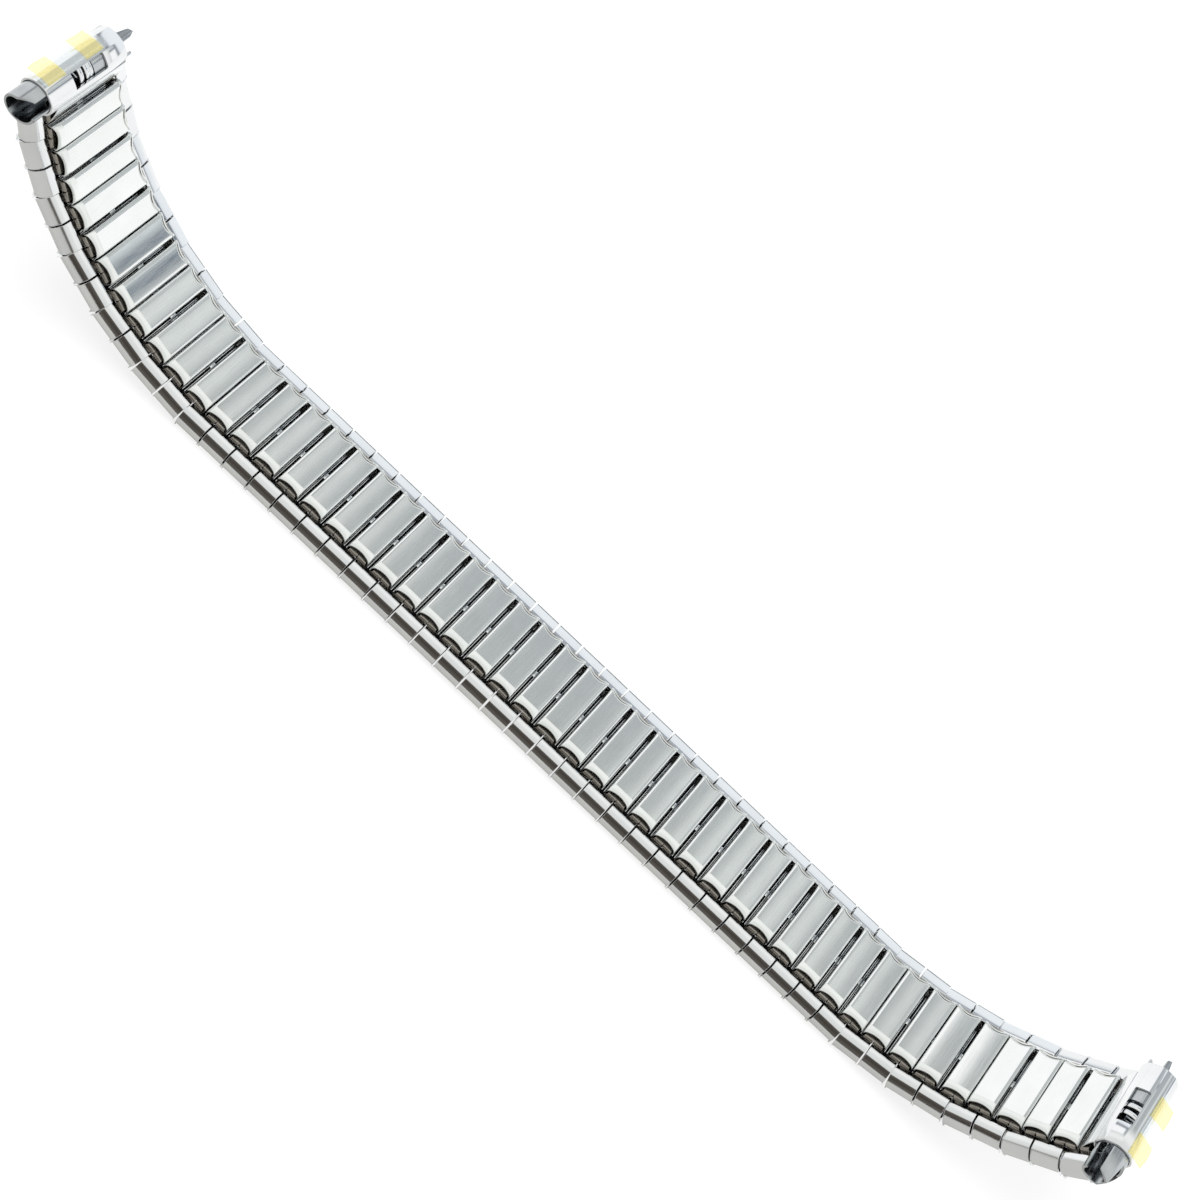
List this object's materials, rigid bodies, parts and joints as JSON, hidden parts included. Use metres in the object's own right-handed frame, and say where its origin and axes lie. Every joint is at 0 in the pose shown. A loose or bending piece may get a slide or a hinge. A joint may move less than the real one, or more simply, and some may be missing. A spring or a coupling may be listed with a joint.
{
  "type": "expansion watch band",
  "caption": "Sprung two-row expansion watch band, laid face down with both ends curled up; telescoping tubes at each end hold the spring bars.",
  "frame": {"origin": "middle of the band's footprint, on the surface that its caps' faces lie on", "axes": "X along the band from the first end to the last, Y across it, Z from the caps' faces to the wrist side"},
  "size_m": [0.1602, 0.0168, 0.0308],
  "materials": {
    "polished_steel": "polished",
    "satin_steel": "satin",
    "spring_steel": "plain",
    "tube_steel": "satin"
  },
  "bodies": {
    "link_01": {"link_01": "polished_steel"},
    "link_02": {"link_02": "polished_steel"},
    "link_03": {"link_03": "polished_steel"},
    "link_04": {"link_04": "polished_steel"},
    "link_05": {"link_05": "polished_steel"},
    "link_06": {"link_06": "polished_steel"},
    "link_07": {"link_07": "polished_steel"},
    "link_08": {"link_08": "polished_steel"},
    "link_09": {"link_09": "polished_steel"},
    "link_10": {"link_10": "polished_steel"},
    "link_11": {"link_11": "polished_steel"},
    "link_12": {"link_12": "polished_steel"},
    "link_13": {"link_13": "polished_steel"},
    "link_14": {"link_14": "polished_steel"},
    "link_15": {"link_15": "polished_steel"},
    "link_16": {"link_16": "polished_steel"},
    "link_17": {"link_17": "polished_steel"},
    "link_18": {"link_18": "polished_steel"},
    "link_19": {"link_19": "polished_steel"},
    "link_20": {"link_20": "polished_steel"},
    "link_21": {"link_21": "polished_steel"},
    "link_22": {"link_22": "polished_steel"},
    "link_23": {"link_23": "polished_steel"},
    "link_25": {"link_25": "polished_steel"},
    "link_26": {"link_26": "polished_steel"},
    "link_27": {"link_27": "polished_steel"},
    "link_28": {"link_28": "polished_steel"},
    "link_29": {"link_29": "polished_steel"},
    "link_30": {"link_30": "polished_steel"},
    "link_31": {"link_31": "polished_steel"},
    "link_32": {"link_32": "polished_steel"},
    "link_33": {"link_33": "polished_steel"},
    "link_34": {"link_34": "polished_steel"},
    "link_35": {"link_35": "polished_steel"},
    "link_36": {"link_36": "polished_steel"},
    "link_37": {"link_37": "polished_steel"},
    "link_38": {"link_38": "polished_steel"},
    "link_39": {"link_39": "polished_steel"},
    "link_40": {"link_40": "polished_steel"},
    "link_41": {"link_41": "polished_steel"},
    "link_42": {"link_42": "polished_steel"},
    "link_43": {"link_43": "polished_steel"},
    "link_44": {"link_44": "polished_steel"},
    "link_45": {"link_45": "polished_steel"},
    "link_46": {"link_46": "polished_steel"},
    "link_47": {"link_47": "polished_steel"},
    "link_48": {"link_48": "polished_steel"},
    "link_24": {"middle_cap": "polished_steel", "middle_outer_sleeve": "satin_steel", "middle_inner_sleeve": "satin_steel", "middle_leaf_springs": "spring_steel", "middle_bows": "spring_steel"},
    "start_fitting": {"start_end_fitting": "polished_steel", "start_coil_spring": "spring_steel"},
    "start_near_slider": {"start_near_slider": "tube_steel"},
    "start_far_slider": {"start_far_slider": "tube_steel"},
    "finish_fitting": {"finish_end_fitting": "polished_steel", "finish_coil_spring": "spring_steel"},
    "finish_near_slider": {"finish_near_slider": "tube_steel"},
    "finish_far_slider": {"finish_far_slider": "tube_steel"}
  },
  "joints": [
    {"name": "flex_01", "type": "hinge", "parent": "link_02", "child": "link_01", "pos_m": [-0.07634, 0.00095, 0.02129], "axis": [0, 1, 0], "range_deg": [-11.6, 1.4]},
    {"name": "stretch_02", "type": "slide", "parent": "link_03", "child": "link_02", "axis": [-0.5299, 0, 0.848], "range_m": [0, 0.0004581], "stiffness_N_per_m": 5000, "springref_m": -0.0003},
    {"name": "flex_03", "type": "hinge", "parent": "link_04", "child": "link_03", "pos_m": [-0.07252, 0.00095, 0.01518], "axis": [0, 1, 0], "range_deg": [-11.6, 1.4]},
    {"name": "stretch_04", "type": "slide", "parent": "link_05", "child": "link_04", "axis": [-0.6896, 0, 0.7242], "range_m": [0, 0.0004581], "stiffness_N_per_m": 5000, "springref_m": -0.0003},
    {"name": "flex_05", "type": "hinge", "parent": "link_06", "child": "link_05", "pos_m": [-0.06755, 0.00095, 0.00997], "axis": [0, 1, 0], "range_deg": [-11.6, 1.4]},
    {"name": "stretch_06", "type": "slide", "parent": "link_07", "child": "link_06", "axis": [-0.8211, 0, 0.5707], "range_m": [0, 0.0004581], "stiffness_N_per_m": 5000, "springref_m": -0.0003},
    {"name": "flex_07", "type": "hinge", "parent": "link_08", "child": "link_07", "pos_m": [-0.06164, 0.00095, 0.00586], "axis": [0, 1, 0], "range_deg": [-11.6, 1.4]},
    {"name": "stretch_08", "type": "slide", "parent": "link_09", "child": "link_08", "axis": [-0.9191, 0, 0.3939], "range_m": [0, 0.0004581], "stiffness_N_per_m": 5000, "springref_m": -0.0003},
    {"name": "flex_09", "type": "hinge", "parent": "link_10", "child": "link_09", "pos_m": [-0.05502, 0.00095, 0.00302], "axis": [0, 1, 0], "range_deg": [-11.6, 1.4]},
    {"name": "stretch_10", "type": "slide", "parent": "link_11", "child": "link_10", "axis": [-0.9796, 0, 0.2011], "range_m": [0, 0.0004581], "stiffness_N_per_m": 5000, "springref_m": -0.0003},
    {"name": "flex_11", "type": "hinge", "parent": "link_12", "child": "link_11", "pos_m": [-0.04797, 0.00095, 0.00158], "axis": [0, 1, 0], "range_deg": [-11.6, 1.4]},
    {"name": "stretch_12", "type": "slide", "parent": "link_13", "child": "link_12", "axis": [-1, 0, 0], "range_m": [0, 0.0004581], "stiffness_N_per_m": 5000, "springref_m": -0.0003},
    {"name": "flex_13", "type": "hinge", "parent": "link_14", "child": "link_13", "pos_m": [-0.04077, 0.00095, 0.00158], "axis": [0, 1, 0], "range_deg": [0, 13]},
    {"name": "stretch_14", "type": "slide", "parent": "link_15", "child": "link_14", "axis": [-1, 0, 0], "range_m": [0, 0.0004581], "stiffness_N_per_m": 5000, "springref_m": -0.0003},
    {"name": "flex_15", "type": "hinge", "parent": "link_16", "child": "link_15", "pos_m": [-0.03357, 0.00095, 0.00158], "axis": [0, 1, 0], "range_deg": [0, 13]},
    {"name": "stretch_16", "type": "slide", "parent": "link_17", "child": "link_16", "axis": [-1, 0, 0], "range_m": [0, 0.0004581], "stiffness_N_per_m": 5000, "springref_m": -0.0003},
    {"name": "flex_17", "type": "hinge", "parent": "link_18", "child": "link_17", "pos_m": [-0.02637, 0.00095, 0.00158], "axis": [0, 1, 0], "range_deg": [0, 13]},
    {"name": "stretch_18", "type": "slide", "parent": "link_19", "child": "link_18", "axis": [-1, 0, 0], "range_m": [0, 0.0004581], "stiffness_N_per_m": 5000, "springref_m": -0.0003},
    {"name": "flex_19", "type": "hinge", "parent": "link_20", "child": "link_19", "pos_m": [-0.01917, 0.00095, 0.00158], "axis": [0, 1, 0], "range_deg": [0, 13]},
    {"name": "stretch_20", "type": "slide", "parent": "link_21", "child": "link_20", "axis": [-1, 0, 0], "range_m": [0, 0.0004581], "stiffness_N_per_m": 5000, "springref_m": -0.0003},
    {"name": "flex_21", "type": "hinge", "parent": "link_22", "child": "link_21", "pos_m": [-0.01197, 0.00095, 0.00158], "axis": [0, 1, 0], "range_deg": [0, 13]},
    {"name": "stretch_22", "type": "slide", "parent": "link_23", "child": "link_22", "axis": [-1, 0, 0], "range_m": [0, 0.0004581], "stiffness_N_per_m": 5000, "springref_m": -0.0003},
    {"name": "flex_23", "type": "hinge", "parent": "link_24", "child": "link_23", "pos_m": [-0.00477, 0.00095, 0.00158], "axis": [0, 1, 0], "range_deg": [0, 13]},
    {"name": "stretch_24", "type": "slide", "parent": "link_24", "child": "link_25", "axis": [1, 0, 0], "range_m": [0, 0.0004581], "stiffness_N_per_m": 5000, "springref_m": -0.0003},
    {"name": "flex_25", "type": "hinge", "parent": "link_25", "child": "link_26", "pos_m": [0.00243, 0.00095, 0.00158], "axis": [0, -1, 0], "range_deg": [0, 13]},
    {"name": "stretch_26", "type": "slide", "parent": "link_26", "child": "link_27", "axis": [1, 0, 0], "range_m": [0, 0.0004581], "stiffness_N_per_m": 5000, "springref_m": -0.0003},
    {"name": "flex_27", "type": "hinge", "parent": "link_27", "child": "link_28", "pos_m": [0.00963, 0.00095, 0.00158], "axis": [0, -1, 0], "range_deg": [0, 13]},
    {"name": "stretch_28", "type": "slide", "parent": "link_28", "child": "link_29", "axis": [1, 0, 0], "range_m": [0, 0.0004581], "stiffness_N_per_m": 5000, "springref_m": -0.0003},
    {"name": "flex_29", "type": "hinge", "parent": "link_29", "child": "link_30", "pos_m": [0.01683, 0.00095, 0.00158], "axis": [0, -1, 0], "range_deg": [0, 13]},
    {"name": "stretch_30", "type": "slide", "parent": "link_30", "child": "link_31", "axis": [1, 0, 0], "range_m": [0, 0.0004581], "stiffness_N_per_m": 5000, "springref_m": -0.0003},
    {"name": "flex_31", "type": "hinge", "parent": "link_31", "child": "link_32", "pos_m": [0.02403, 0.00095, 0.00158], "axis": [0, -1, 0], "range_deg": [0, 13]},
    {"name": "stretch_32", "type": "slide", "parent": "link_32", "child": "link_33", "axis": [1, 0, 0], "range_m": [0, 0.0004581], "stiffness_N_per_m": 5000, "springref_m": -0.0003},
    {"name": "flex_33", "type": "hinge", "parent": "link_33", "child": "link_34", "pos_m": [0.03123, 0.00095, 0.00158], "axis": [0, -1, 0], "range_deg": [0, 13]},
    {"name": "stretch_34", "type": "slide", "parent": "link_34", "child": "link_35", "axis": [1, 0, 0], "range_m": [0, 0.0004581], "stiffness_N_per_m": 5000, "springref_m": -0.0003},
    {"name": "flex_35", "type": "hinge", "parent": "link_35", "child": "link_36", "pos_m": [0.03843, 0.00095, 0.00158], "axis": [0, -1, 0], "range_deg": [0, 13]},
    {"name": "stretch_36", "type": "slide", "parent": "link_36", "child": "link_37", "axis": [1, 0, 0], "range_m": [0, 0.0004581], "stiffness_N_per_m": 5000, "springref_m": -0.0003},
    {"name": "flex_37", "type": "hinge", "parent": "link_37", "child": "link_38", "pos_m": [0.04563, 0.00095, 0.00158], "axis": [0, -1, 0], "range_deg": [0, 13]},
    {"name": "stretch_38", "type": "slide", "parent": "link_38", "child": "link_39", "axis": [1, 0, 0], "range_m": [0, 0.0004581], "stiffness_N_per_m": 5000, "springref_m": -0.0003},
    {"name": "flex_39", "type": "hinge", "parent": "link_39", "child": "link_40", "pos_m": [0.05283, 0.00095, 0.00158], "axis": [0, -1, 0], "range_deg": [-12.6, 0.4]},
    {"name": "stretch_40", "type": "slide", "parent": "link_40", "child": "link_41", "axis": [0.9759, 0, 0.2181], "range_m": [0, 0.0004581], "stiffness_N_per_m": 5000, "springref_m": -0.0003},
    {"name": "flex_41", "type": "hinge", "parent": "link_41", "child": "link_42", "pos_m": [0.05986, 0.00095, 0.00315], "axis": [0, -1, 0], "range_deg": [-12.6, 0.4]},
    {"name": "stretch_42", "type": "slide", "parent": "link_42", "child": "link_43", "axis": [0.9048, 0, 0.4258], "range_m": [0, 0.0004581], "stiffness_N_per_m": 5000, "springref_m": -0.0003},
    {"name": "flex_43", "type": "hinge", "parent": "link_43", "child": "link_44", "pos_m": [0.06637, 0.00095, 0.00621], "axis": [0, -1, 0], "range_deg": [-12.6, 0.4]},
    {"name": "stretch_44", "type": "slide", "parent": "link_44", "child": "link_45", "axis": [0.7902, 0, 0.6129], "range_m": [0, 0.0004581], "stiffness_N_per_m": 5000, "springref_m": -0.0003},
    {"name": "flex_45", "type": "hinge", "parent": "link_45", "child": "link_46", "pos_m": [0.07206, 0.00095, 0.01063], "axis": [0, -1, 0], "range_deg": [-12.6, 0.4]},
    {"name": "stretch_46", "type": "slide", "parent": "link_46", "child": "link_47", "axis": [0.6374, 0, 0.7705], "range_m": [0, 0.0004581], "stiffness_N_per_m": 5000, "springref_m": -0.0003},
    {"name": "flex_47", "type": "hinge", "parent": "link_47", "child": "link_48", "pos_m": [0.07665, 0.00095, 0.01617], "axis": [0, -1, 0], "range_deg": [-12.6, 0.4]},
    {"name": "start_hinge", "type": "hinge", "parent": "link_01", "child": "start_fitting", "pos_m": [-0.07759, 0.00095, 0.02466], "axis": [0, 1, 0], "range_deg": [-6, 6]},
    {"name": "start_near_slide", "type": "slide", "parent": "start_fitting", "child": "start_near_slider", "axis": [0, 1, 0], "range_m": [-0.0022, 0.0018], "stiffness_N_per_m": 100, "deforming": ["start_coil_spring"]},
    {"name": "start_far_slide", "type": "slide", "parent": "start_fitting", "child": "start_far_slider", "axis": [0, 1, 0], "range_m": [-0.001, 0.0024], "stiffness_N_per_m": 100, "deforming": ["start_coil_spring"]},
    {"name": "finish_hinge", "type": "hinge", "parent": "link_48", "child": "finish_fitting", "pos_m": [0.07715, 0.00095, 0.01715], "axis": [0, -1, 0], "range_deg": [-6, 6]},
    {"name": "finish_near_slide", "type": "slide", "parent": "finish_fitting", "child": "finish_near_slider", "axis": [0, 1, 0], "range_m": [-0.0004, 0.003], "stiffness_N_per_m": 100, "deforming": ["finish_coil_spring"]},
    {"name": "finish_far_slide", "type": "slide", "parent": "finish_fitting", "child": "finish_far_slider", "axis": [0, 1, 0], "range_m": [-0.0008, 0.003], "stiffness_N_per_m": 100, "deforming": ["finish_coil_spring"]}
  ]
}
